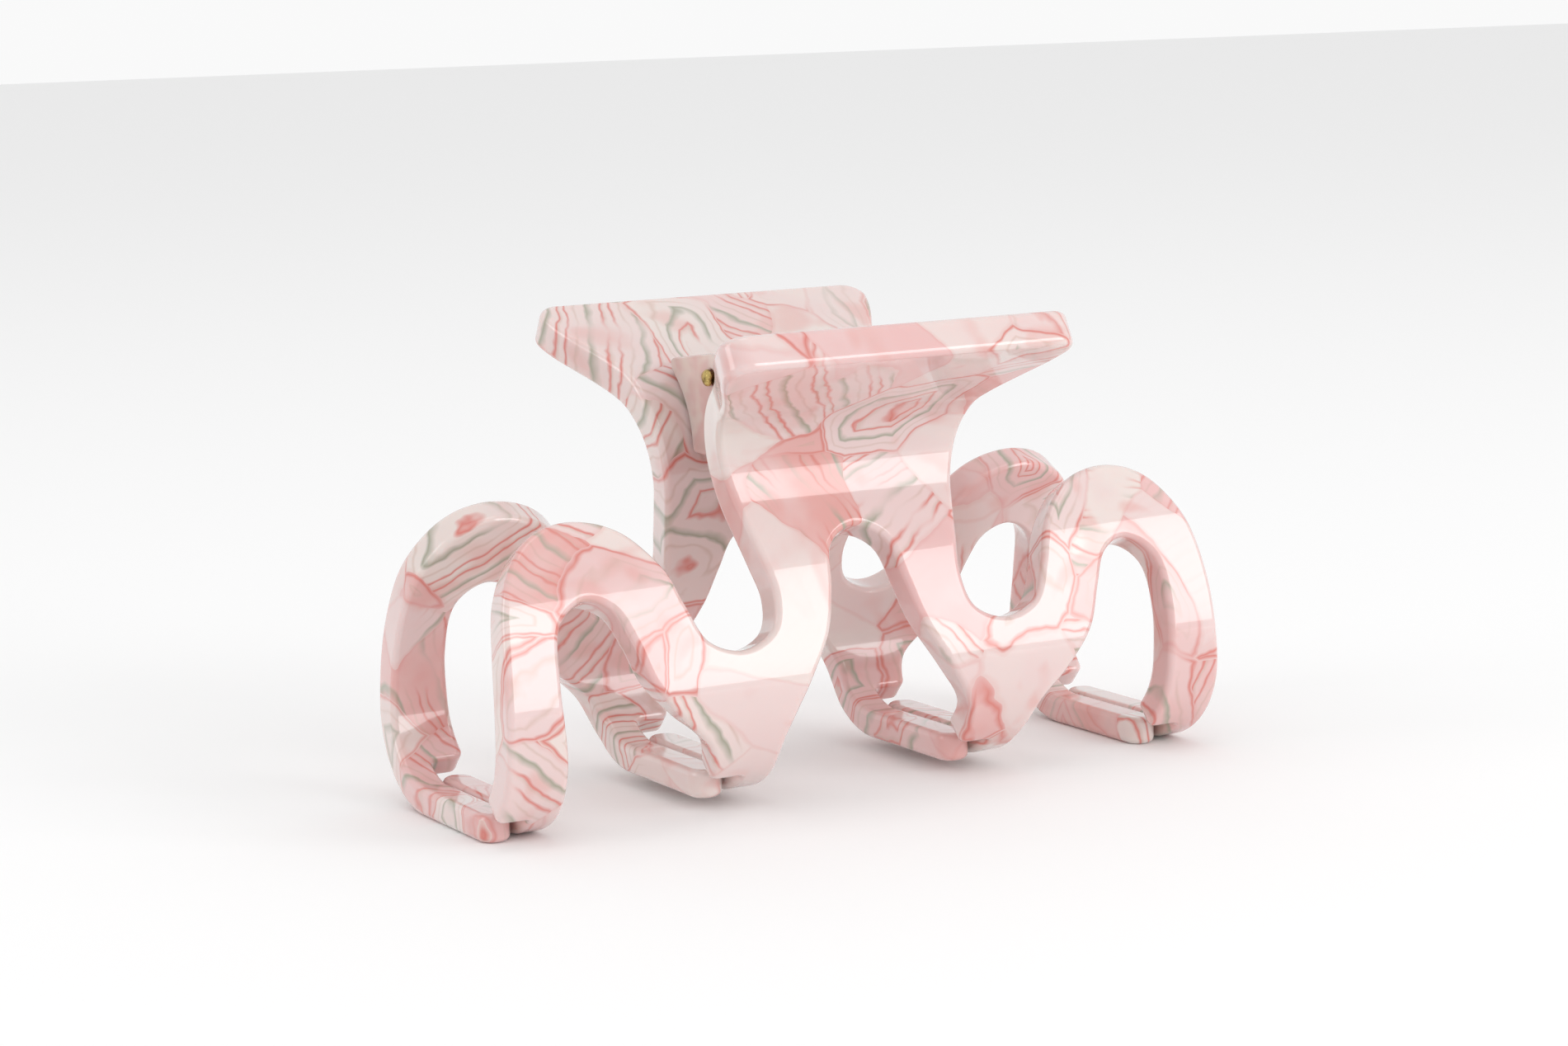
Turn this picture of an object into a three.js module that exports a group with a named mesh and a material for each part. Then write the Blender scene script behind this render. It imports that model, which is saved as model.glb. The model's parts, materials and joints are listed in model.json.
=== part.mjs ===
// Claw clip: two identical jaws cut from thick acetate sheet, bent across their width and hinged on a
// brass pin, with glued hinge ears and a torsion spring round the pin.
// Millimetres, +Z up. X runs along the clip, the front jaw lies towards -Y, and Z = 0 is the plane that
// the curled fingers rest on. The second jaw is the first one turned half a turn about Z.

import * as THREE from 'three';
import { mergeVertices } from 'three/addons/utils/BufferGeometryUtils.js';

// ---------------------------------------------------------------- driving dimensions

const DEG = Math.PI / 180;

const SHEET = 3.8;                  // sheet thickness over the tab, body and arches
const FINGER_THICKNESS = 3.0;       // the sheet is thinned towards the curled fingers
const THINNING = [45, 58];          // distance down the sheet where that thinning starts and ends

const TAB_LEAN = 62;                // degrees that the tab leans outwards from the vertical
const TAB_STRAIGHT = 13.2;          // flat length of the tab, down the sheet
const NECK_RADIUS = 7.9;            // bend between tab and body
const FLARE = 27.8;                   // degrees that the sheet slopes outwards below the neck
const SHOULDER_RADIUS = 10.7;       // bend that starts the flare
const FLARE_STRAIGHT = 5.5;        // straight sheet between shoulder and belly
const BELLY_RADIUS = 32.2;            // gentle belly that ends the flare
const CURL_RADIUS = 8.54;            // curl under the hair
const FINGER_STRAIGHT = 15.6;       // flat length of a finger past the curl
const CUT_ANGLE = 50;               // degrees round the curl where the cut half of each leg ends
const CURL_Y = -5.7;                // centre of the curl of the front jaw

const TAB_HALF = 20.1;              // half width of the tab's top edge
const TAB_CORNER = 2.5;             // corner radius there
const LEG_OUTER = 42.4;             // outermost reach of an outer leg
const LEG_INNER = 35.2;             // inner edge of an outer leg at its foot
const TOOTH_OUTER = 18.7;           // outer edge of an inner tooth at its foot
const TOOTH_INNER = 11.0;           // inner edge of an inner tooth at its foot
const TOOTH_LIFT = 1.3;             // height of the inner fingers' underside above that of the outer ones
const FINGER_GAP = 0.3;             // gap between fingers that lie side by side

const PIN_Z = 43.1;                 // height of the hinge axis
const PIN_RADIUS = 0.75;
const PIN_HEAD_RADIUS = 0.95;
const PIN_HEAD = 0.6;               // thickness of each peened end
const PIN_CLEARANCE = 0.08;         // radial clearance of the pin in the ears
const GAP = 0.3;                    // gap kept between pieces that touch

const EAR_THICKNESS = 2.7;
const EAR_OUTER_X = 10.4;           // outer face of the outermost ears
const EAR_TOP = 44.4;
const EAR_BOTTOM = 34.8;
const EAR_NOSE = 2.5;               // radius of an ear's rounded nose about the pin

const WIRE_RADIUS = 0.4;
const COIL_RADIUS = 1.8;            // centre line of the spring's coil
const COIL_TURNS = 6;
const COIL_PITCH = 0.95;
const LEG_HEEL = 13.0;               // distance down the tab where a leg's straight run meets it
const LEG_TIP = 10.8;                // distance down the tab where a leg ends

// ---------------------------------------------------------------- materials

const finish = (colour, roughness, metalness) =>
  new THREE.MeshStandardMaterial({ color: colour, roughness, metalness });
const jawAcetate = finish(0xe2c5c1, 0.12, 0);
const earAcetate = finish(0xe8d2cb, 0.15, 0);
const brass = finish(0xb59a62, 0.35, 1);
const springSteel = finish(0xb8b8ba, 0.3, 1);

// ---------------------------------------------------------------- the sheet's bends

// Each bend is a stretch of constant curvature. Distances run down the middle of the sheet from the tab's
// top edge, and the slope is the angle from straight down, positive where the sheet runs outwards.
function buildBends() {
  const bend = (radius, from, to) => ({ length: radius * Math.abs(to - from) * DEG, from, to });
  const straight = (length, slope) => ({ length, from: slope, to: slope });
  const bends = [
    straight(TAB_STRAIGHT, -TAB_LEAN),
    bend(NECK_RADIUS, -TAB_LEAN, 0),
    bend(SHOULDER_RADIUS, 0, FLARE),
    straight(FLARE_STRAIGHT, FLARE),
    bend(BELLY_RADIUS, FLARE, 0),
    bend(CURL_RADIUS, 0, -90),
    straight(FINGER_STRAIGHT, -90),
  ];
  let start = 0;
  let out = 0;
  let down = 0;
  for (const b of bends) {
    Object.assign(b, { start, out, down });
    const end = alongBend(b, b.length);
    start += b.length;
    out = end.out;
    down = end.down;
  }
  return bends;
}

// Place after a distance d down one bend, as (outwards, downwards) from the top of the sheet.
function alongBend(b, d) {
  const a0 = b.from * DEG;
  const curvature = (b.to - b.from) * DEG / b.length;
  const a = a0 + curvature * d;
  if (curvature === 0) {
    return { out: b.out + d * Math.sin(a0), down: b.down + d * Math.cos(a0), slope: a0 };
  }
  return {
    out: b.out + (Math.cos(a0) - Math.cos(a)) / curvature,
    down: b.down + (Math.sin(a) - Math.sin(a0)) / curvature,
    slope: a,
  };
}

const bends = buildBends();
const curl = bends[5];
const SHEET_LENGTH = curl.start + curl.length + FINGER_STRAIGHT;
const CUT = curl.start + CURL_RADIUS * CUT_ANGLE * DEG;
const CURL_OUT = curl.out - CURL_RADIUS;
const SHEET_TOP = FINGER_THICKNESS / 2 + CURL_RADIUS + curl.down;

function thickness(s) {
  const t = THREE.MathUtils.smoothstep(s, THINNING[0], THINNING[1]);
  return THREE.MathUtils.lerp(SHEET, FINGER_THICKNESS, t);
}

// The inner teeth are pressed a little higher than the outer legs, u being the distance from the middle.
function lift(u, s) {
  const inwards = 1 - THREE.MathUtils.smoothstep(Math.abs(u), 23, 31);
  return TOOTH_LIFT * inwards * THREE.MathUtils.smoothstep(s, 38, 52);
}

// A point of the front jaw: u along it, s down the sheet, w outwards from the sheet's middle.
function sheetPoint(u, s, w) {
  const b = bends.findLast((each) => s >= each.start) ?? bends[0];
  const p = alongBend(b, s - b.start);
  return {
    y: CURL_Y + CURL_OUT - p.out - w * Math.cos(p.slope),
    z: SHEET_TOP - p.down + w * Math.sin(p.slope) + lift(u, s),
  };
}

// ---------------------------------------------------------------- the flat outline of a jaw

const points = (list) => list.map(([u, s]) => new THREE.Vector2(u, s));

// Right half from the tab's corner down to the foot of the outer leg.
const outerEdge = points([
  [TAB_HALF, TAB_CORNER], [19.2, 5.4], [16.2, 11.9], [14.7, 18.2], [12.9, 26.2], [11.7, 32.2], [11.1, 36.2],
  [12.1, 39.6], [15.6, 41.2], [19.3, 39.8], [21.2, 36.0], [22.8, 32.0], [26.6, 27.8], [32.0, 26.2],
  [37.0, 28.0], [40.4, 32.8], [41.7, 39.2], [42.2, 47.2], [LEG_OUTER, CUT],
]);
// Slot between the outer leg and the inner tooth, from the leg's foot up and over to the tooth's foot.
const slotEdge = points([
  [LEG_INNER, CUT], [35.7, 48.2], [36.0, 42.2], [35.3, 37.0], [32.3, 34.6], [29.3, 35.8],
  [27.6, 39.2], [26.0, 43.6], [23.0, 47.8], [19.8, 51.2], [TOOTH_OUTER, CUT],
]);
// From the tooth's foot up to the top of the middle arch.
const archEdge = points([
  [TOOTH_INNER, CUT], [10.9, 51.0], [8.2, 45.6], [5.6, 40.6], [4.3, 36.2], [3.2, 31.8], [0, 30.0],
]);

const mirrored = (edge) => edge.map((p) => new THREE.Vector2(-p.x, p.y)).reverse();

// The foot of a leg that spans u0 to u1. The half towards +u runs on as a finger with a round tip, and
// the other half ends square. The walk goes from u1 to u0.
function foot(shape, u0, u1) {
  const split = (u0 + u1) / 2 + FINGER_GAP / 2;
  const radius = (u1 - split) / 2;
  const tip = SHEET_LENGTH - radius;
  shape.lineTo(u1, tip);
  shape.absarc(u1 - radius, tip, radius, 0, Math.PI, false);
  shape.lineTo(split, CUT);
  shape.lineTo(u0, CUT);
}

function jawOutline() {
  const shape = new THREE.Shape();
  shape.moveTo(-TAB_HALF + TAB_CORNER, 0);
  shape.lineTo(TAB_HALF - TAB_CORNER, 0);
  shape.absarc(TAB_HALF - TAB_CORNER, TAB_CORNER, TAB_CORNER, -Math.PI / 2, 0, false);
  shape.splineThru(outerEdge.slice(1));
  foot(shape, LEG_INNER, LEG_OUTER);
  shape.splineThru(slotEdge.slice(1));
  foot(shape, TOOTH_INNER, TOOTH_OUTER);
  shape.splineThru([...archEdge.slice(1), ...mirrored(archEdge).slice(1)]);
  foot(shape, -TOOTH_OUTER, -TOOTH_INNER);
  shape.splineThru(mirrored(slotEdge).slice(1));
  foot(shape, -LEG_OUTER, -LEG_INNER);
  shape.splineThru(mirrored(outerEdge).slice(1));
  shape.absarc(-TAB_HALF + TAB_CORNER, TAB_CORNER, TAB_CORNER, Math.PI, 1.5 * Math.PI, false);
  return shape;
}

// ---------------------------------------------------------------- a bent jaw

const STRIP_ANGLE = 9;              // degrees of bend that one strip may span

// Distances down the sheet where the flat outline is divided, so that every bend becomes short facets.
function stations() {
  const list = [];
  for (const b of bends) {
    const count = Math.max(1, Math.ceil(Math.abs(b.to - b.from) / STRIP_ANGLE));
    for (let i = 1; i <= count; i++) {
      list.push(b.start + b.length * i / count);
    }
  }
  return list.slice(0, -1);
}

// The outline as a closed ring of points, with a point added wherever it crosses a station.
function dividedOutline(cuts) {
  const ring = jawOutline().getPoints(3);
  const divided = [];
  ring.forEach((p, i) => {
    const q = ring[(i + 1) % ring.length];
    if (p.distanceTo(q) < 1e-6) {
      return;
    }
    divided.push(p);
    const crossed = cuts.filter((cut) => (p.y - cut) * (q.y - cut) < 0);
    crossed.sort((m, n) => (m - n) * Math.sign(q.y - p.y));
    for (const cut of crossed) {
      const t = (cut - p.y) / (q.y - p.y);
      divided.push(new THREE.Vector2(p.x + t * (q.x - p.x), cut));
    }
  });
  return divided;
}

// The outline's runs of points that lie between two stations, each from one crossing to the next.
function runsBetween(ring, low, high) {
  const inside = (i) => {
    const middle = (ring[i].y + ring[(i + 1) % ring.length].y) / 2;
    return middle > low && middle < high;
  };
  const first = ring.findIndex((p, i) => !inside(i));
  const runs = [];
  let run = null;
  for (let k = 1; k <= ring.length; k++) {
    const i = (first + k) % ring.length;
    if (inside(i)) {
      run ??= [ring[i]];
      run.push(ring[(i + 1) % ring.length]);
    } else if (run) {
      runs.push(run);
      run = null;
    }
  }
  return runs;
}

// Runs are joined into closed loops along the stations: sorted along a station, crossings pair up as
// the two ends of a stretch of sheet.
function loopsOf(runs) {
  const ends = runs.flatMap((run) => [run[0], run[run.length - 1]]);
  const partner = new Map();
  for (const level of new Set(ends.map((p) => p.y))) {
    const row = ends.filter((p) => p.y === level).sort((p, q) => p.x - q.x);
    for (let i = 0; i + 1 < row.length; i += 2) {
      partner.set(row[i], row[i + 1]);
      partner.set(row[i + 1], row[i]);
    }
  }
  const left = new Set(runs);
  const loops = [];
  while (left.size > 0) {
    const loop = [];
    let run = left.values().next().value;
    while (run && left.delete(run)) {
      loop.push(...run);
      const next = partner.get(run[run.length - 1]);
      run = [...left].find((each) => each[0] === next);
    }
    loops.push(loop);
  }
  return loops;
}

// The bent sheet: both faces strip by strip, and the wall all round the outline.
function jawGeometry() {
  const cuts = stations();
  const ring = dividedOutline(cuts);
  const corners = [];
  const emit = (p, side) => {
    const q = sheetPoint(p.x, p.y, side * thickness(p.y) / 2);
    corners.push(p.x, q.y, q.z);
  };
  const levels = [-1, ...cuts, SHEET_LENGTH + 1];
  for (let k = 0; k + 1 < levels.length; k++) {
    for (const loop of loopsOf(runsBetween(ring, levels[k], levels[k + 1]))) {
      for (const triangle of THREE.ShapeUtils.triangulateShape(loop, [])) {
        triangle.forEach((i) => emit(loop[i], -1));
        triangle.toReversed().forEach((i) => emit(loop[i], 1));
      }
    }
  }
  ring.forEach((p, i) => {
    const q = ring[(i + 1) % ring.length];
    for (const [corner, side] of [[p, 1], [q, 1], [p, -1], [q, 1], [q, -1], [p, -1]]) {
      emit(corner, side);
    }
  });
  const geometry = new THREE.BufferGeometry();
  geometry.setAttribute('position', new THREE.Float32BufferAttribute(corners, 3));
  return mergeVertices(geometry, 1e-4);
}

// ---------------------------------------------------------------- hinge ears

// Outline of an ear in the Y-Z plane of the front jaw: its back follows the jaw's inner face, and its
// nose is round about the pin.
function earOutline() {
  const back = [];
  for (let s = 0; s < SHEET_LENGTH; s += 0.8) {
    const p = sheetPoint(0, s, -SHEET / 2 - GAP);
    if (p.z < EAR_TOP && p.z > EAR_BOTTOM) {
      back.push(p);
    }
  }
  const shape = new THREE.Shape();
  shape.moveTo(back[0].y, EAR_TOP);
  for (const p of back) {
    shape.lineTo(p.y, p.z);
  }
  shape.lineTo(back[back.length - 1].y, EAR_BOTTOM);
  shape.lineTo(0, EAR_BOTTOM);
  shape.quadraticCurveTo(EAR_NOSE, PIN_Z - 1.6 * EAR_NOSE, EAR_NOSE, PIN_Z);
  shape.absarc(0, PIN_Z, EAR_NOSE, 0, Math.PI / 2, false);
  const bore = new THREE.Path();
  bore.absarc(0, PIN_Z, PIN_RADIUS + PIN_CLEARANCE, 0, 2 * Math.PI, true);
  shape.holes.push(bore);
  return shape;
}

// An extrusion of a Y-Z outline along X, from x0 to x1.
function alongX(shape, x0, x1, segments) {
  const geometry = new THREE.ExtrudeGeometry(shape, {
    depth: x1 - x0,
    bevelEnabled: false,
    curveSegments: segments,
  });
  geometry.applyMatrix4(new THREE.Matrix4().set(
    0, 0, 1, x0,
    1, 0, 0, 0,
    0, 1, 0, 0,
    0, 0, 0, 1,
  ));
  return mergeVertices(stripped(geometry), 1e-5);
}

function stripped(geometry) {
  geometry.deleteAttribute('normal');
  geometry.deleteAttribute('uv');
  return geometry;
}

// ---------------------------------------------------------------- pin and spring

function pinGeometry() {
  const half = EAR_OUTER_X + GAP + PIN_HEAD;
  const shoulder = half - PIN_HEAD;
  const bevel = 0.3;
  const profile = [
    [0, -half], [PIN_HEAD_RADIUS - bevel, -half], [PIN_HEAD_RADIUS, -half + bevel],
    [PIN_HEAD_RADIUS, -shoulder], [PIN_RADIUS, -shoulder], [PIN_RADIUS, shoulder],
    [PIN_HEAD_RADIUS, shoulder], [PIN_HEAD_RADIUS, half - bevel], [PIN_HEAD_RADIUS - bevel, half], [0, half],
  ].map(([radius, x]) => new THREE.Vector2(radius, x));
  const geometry = new THREE.LatheGeometry(profile, 24);
  geometry.rotateZ(-Math.PI / 2);
  geometry.translate(0, 0, PIN_Z);
  return geometry;
}

// One leg of the spring, in the Y-Z plane of the front jaw: it rests along the tab's inner face from its
// tip to its heel, and from the heel it runs straight to the coil.
function springLeg() {
  const off = -(SHEET / 2 + GAP + WIRE_RADIUS);
  const tip = sheetPoint(0, LEG_TIP, off);
  const heel = sheetPoint(0, LEG_HEEL, off);
  const rise = heel.z - PIN_Z;
  const angle = Math.atan2(rise, heel.y) - Math.acos(COIL_RADIUS / Math.hypot(heel.y, rise));
  return { tip, heel, angle };
}

// The wire's centre line: a leg along the front tab, the coil, and a leg along the rear tab.
function springPath() {
  const half = COIL_TURNS * COIL_PITCH / 2;
  const { tip, heel, angle } = springLeg();
  const coilPoint = (x, a) =>
    new THREE.Vector3(x, COIL_RADIUS * Math.cos(a), PIN_Z + COIL_RADIUS * Math.sin(a));
  const leg = [tip, heel].map((p) => new THREE.Vector3(-half, p.y, p.z));
  leg.push(leg[1].clone().lerp(coilPoint(-half, angle), 0.35));
  leg.push(leg[1].clone().lerp(coilPoint(-half, angle), 0.75));
  const steps = COIL_TURNS * 12;
  const sweep = 2 * Math.PI * COIL_TURNS + 2 * angle - Math.PI;
  const coil = [];
  for (let i = 0; i <= steps; i++) {
    coil.push(coilPoint(-half + 2 * half * i / steps, angle - sweep * i / steps));
  }
  const farLeg = leg.toReversed().map((p) => new THREE.Vector3(-p.x, -p.y, p.z));
  return new THREE.CatmullRomCurve3([...leg, ...coil, ...farLeg]);
}

function springGeometry() {
  const section = new THREE.Shape();
  section.absarc(0, 0, WIRE_RADIUS, 0, 2 * Math.PI, false);
  return new THREE.ExtrudeGeometry(section, {
    steps: 110,
    curveSegments: 4,
    bevelEnabled: false,
    extrudePath: springPath(),
  });
}

// ---------------------------------------------------------------- assembly

const group = new THREE.Group();

function add(name, geometry, material, turned = false) {
  const mesh = new THREE.Mesh(geometry, material);
  mesh.name = name;
  mesh.rotation.z = turned ? Math.PI : 0;
  group.add(mesh);
}

const jaw = jawGeometry();
add('front_jaw', jaw, jawAcetate);
add('rear_jaw', jaw, jawAcetate, true);

// The front jaw's ears stand outermost on the right and second from outside on the left. The rear jaw's
// pair is the same pair after the half turn.
const earShape = earOutline();
const outerEar = alongX(earShape, EAR_OUTER_X - EAR_THICKNESS, EAR_OUTER_X, 6);
const innerStart = -EAR_OUTER_X + EAR_THICKNESS + GAP;
const innerEar = alongX(earShape, innerStart, innerStart + EAR_THICKNESS, 6);
add('front_ear_outer', outerEar, earAcetate);
add('front_ear_inner', innerEar, earAcetate);
add('rear_ear_outer', outerEar, earAcetate, true);
add('rear_ear_inner', innerEar, earAcetate, true);

add('hinge_pin', pinGeometry(), brass);
add('torsion_spring', springGeometry(), springSteel);

export default group;
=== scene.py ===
"""Looks of a sprung hair claw: marbled acetate jaws, glued hinge ears, a peened pin and a torsion spring."""
import json
import logging
import math
from dataclasses import dataclass
from enum import Enum

import bpy
import numpy as np
from mathutils import Matrix, Vector
from mathutils.geometry import delaunay_2d_cdt


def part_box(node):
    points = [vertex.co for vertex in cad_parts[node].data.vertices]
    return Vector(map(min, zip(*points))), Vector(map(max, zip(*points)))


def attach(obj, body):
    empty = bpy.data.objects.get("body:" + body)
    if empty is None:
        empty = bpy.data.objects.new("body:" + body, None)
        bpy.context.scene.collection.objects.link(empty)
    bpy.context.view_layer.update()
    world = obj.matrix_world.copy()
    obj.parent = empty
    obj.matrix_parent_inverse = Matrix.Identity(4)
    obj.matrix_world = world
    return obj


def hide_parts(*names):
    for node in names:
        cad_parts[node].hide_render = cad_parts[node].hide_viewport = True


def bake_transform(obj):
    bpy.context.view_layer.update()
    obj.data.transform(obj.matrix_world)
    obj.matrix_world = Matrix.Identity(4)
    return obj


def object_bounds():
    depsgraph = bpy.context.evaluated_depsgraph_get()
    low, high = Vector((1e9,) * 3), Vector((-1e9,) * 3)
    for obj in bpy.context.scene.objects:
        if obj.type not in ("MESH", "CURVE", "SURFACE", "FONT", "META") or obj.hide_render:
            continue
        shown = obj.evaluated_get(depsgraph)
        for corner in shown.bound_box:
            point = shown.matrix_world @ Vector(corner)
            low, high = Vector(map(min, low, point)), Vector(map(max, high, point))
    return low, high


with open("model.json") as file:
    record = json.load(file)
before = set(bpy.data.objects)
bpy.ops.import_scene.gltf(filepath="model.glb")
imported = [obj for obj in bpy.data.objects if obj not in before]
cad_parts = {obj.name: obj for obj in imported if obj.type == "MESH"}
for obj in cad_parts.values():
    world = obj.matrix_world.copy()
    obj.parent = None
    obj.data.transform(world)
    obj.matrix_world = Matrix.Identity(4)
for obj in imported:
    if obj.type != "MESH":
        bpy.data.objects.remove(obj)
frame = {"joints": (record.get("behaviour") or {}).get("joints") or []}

LOG = logging.getLogger("hair_claw")
CAD_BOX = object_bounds()
MM = 0.001
EDGE_CLEARANCE = 0.55  # least distance from a plate's rim to a point inside it, in grid steps
MERGE_DISTANCE = 1e-7  # points nearer than this are one point when a face is filled

Array = np.ndarray
Colour = tuple[float, float, float]


# ---------------------------------------------------------------- small helpers


def linear(red: int, green: int, blue: int) -> Colour:
    """Turns an 8-bit display colour into linear light.

    Args:
        red: red, 0 to 255.
        green: green, 0 to 255.
        blue: blue, 0 to 255.

    Returns:
        The colour in linear light, 0 to 1.
    """
    return tuple(
        c / 12.92 if c <= 0.04045 else ((c + 0.055) / 1.055) ** 2.4
        for c in (red / 255, green / 255, blue / 255)
    )


def smoothstep(value: Array, low: float, high: float) -> Array:
    """Rises from 0 at low to 1 at high as 3t^2 - 2t^3, t being the clamped share of the way.

    Args:
        value: the numbers to ease.
        low: where the rise starts.
        high: where it ends.

    Returns:
        The eased numbers, 0 to 1.
    """
    t = np.clip((value - low) / (high - low), 0, 1)
    return t * t * (3 - 2 * t)


def arc(centre: tuple[float, float], radius: float, start: float, end: float, steps: int = 12) -> Array:
    """Points of a circle's arc: centre + radius (cos a, sin a), a running from start to end.

    Args:
        centre: the circle's centre.
        radius: its radius.
        start: first angle in degrees.
        end: last angle in degrees.
        steps: stretches between points.

    Returns:
        The points, steps + 1 by 2.
    """
    a = np.radians(np.linspace(start, end, steps + 1))
    return np.stack([centre[0] + radius * np.cos(a), centre[1] + radius * np.sin(a)], 1)


def spline(points: Array, per_span: int = 14) -> Array:
    """A Catmull-Rom curve through points: on each span the cubic whose end tangents are half the chord
    between the neighbours of each end.

    Args:
        points: the points, n by 2 or n by 3.
        per_span: points on each span.

    Returns:
        The curve's points, the first and last point included.
    """
    p = np.vstack([points[:1], points, points[-1:]])
    t = np.linspace(0, 1, per_span, endpoint=False)[None, :, None]
    a, b, c, d = (p[i:len(p) - 3 + i, None, :] for i in range(4))
    span = b + 0.5 * t * (c - a + t * (2 * a - 5 * b + 4 * c - d + t * (3 * (b - c) + d - a)))
    return np.vstack([span.reshape(-1, points.shape[1]), points[-1:]])


def resampled(points: Array, step: float, closed: bool = True) -> Array:
    """Points at even distances along a polyline.

    Args:
        points: the polyline.
        step: wanted distance between points.
        closed: whether the last point joins the first.

    Returns:
        The evenly spaced points.
    """
    p = np.vstack([points, points[:1]]) if closed else points
    length = np.linalg.norm(np.diff(p, axis=0), axis=1)
    p = p[np.append(True, length > 1e-9)]
    along = np.append(0, np.cumsum(length[length > 1e-9]))
    count = max(8, int(round(along[-1] / step)))
    at = np.linspace(0, along[-1], count, endpoint=not closed)
    return np.stack([np.interp(at, along, p[:, k]) for k in range(p.shape[1])], 1)


def softened(loop: Array, passes: int) -> Array:
    """Rounds a closed loop's corners: each pass gives a point half its own place and a quarter of each
    neighbour's.

    Args:
        loop: evenly spaced points.
        passes: how many times.

    Returns:
        The rounded loop.
    """
    for _ in range(passes):
        loop = (np.roll(loop, 1, 0) + 2 * loop + np.roll(loop, -1, 0)) / 4
    return loop


def outward(loop: Array) -> Array:
    """Unit normals of a closed loop that points away from its left-hand side.

    Args:
        loop: points of the loop, the material on the left of the walk.

    Returns:
        One normal for each point, from the chord between its neighbours.
    """
    chord = np.roll(loop, -1, 0) - np.roll(loop, 1, 0)
    chord /= np.linalg.norm(chord, axis=1, keepdims=True)
    return np.stack([chord[:, 1], -chord[:, 0]], 1)


def inside(points: Array, loops: list[Array]) -> Array:
    """Even-odd test: a point is inside if a ray from it crosses the loops an odd number of times.

    Args:
        points: points to test, n by 2.
        loops: closed loops.

    Returns:
        True for each point that is inside.
    """
    crossings = np.zeros(len(points), int)
    for loop in loops:
        p, q = loop, np.roll(loop, -1, 0)
        y = points[:, 1:2]
        spans = (p[:, 1] > y) != (q[:, 1] > y)
        rise = np.where(q[:, 1] == p[:, 1], 1.0, q[:, 1] - p[:, 1])
        x = p[:, 0] + (y - p[:, 1]) * (q[:, 0] - p[:, 0]) / rise
        crossings += (spans & (points[:, 0:1] < x)).sum(1)
    return crossings % 2 == 1


# ---------------------------------------------------------------- plates with rounded edges


@dataclass(frozen=True)
class Rim:
    """The edge of a polished plate: a quarter round from each face down to a straight wall."""

    radius: float
    steps: int = 5

    def sections(self) -> Array:
        """The profile from one face to the other: rows of inset from the outline, depth below the face,
        side of the plate, and the normal's share along the outline's normal and along the face's."""
        a = np.linspace(0, np.pi / 2, self.steps + 1)
        inset = self.radius * (1 - np.sin(a))
        depth = self.radius * (1 - np.cos(a))
        upper = np.stack([inset, depth, np.ones_like(a), np.sin(a), np.cos(a)], 1)
        return np.vstack([upper, upper[::-1] * [1, 1, -1, 1, -1]])


@dataclass
class Plate:
    """A flat plate before it is bent: its points are (a, b) in the plane, side and depth across it."""

    plane: Array
    side: Array
    depth: Array
    normals: Array
    triangles: Array
    quads: Array

    def faces(self) -> list[list[int]]:
        """All faces as lists of point numbers."""
        return self.triangles.tolist() + self.quads.tolist()


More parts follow.
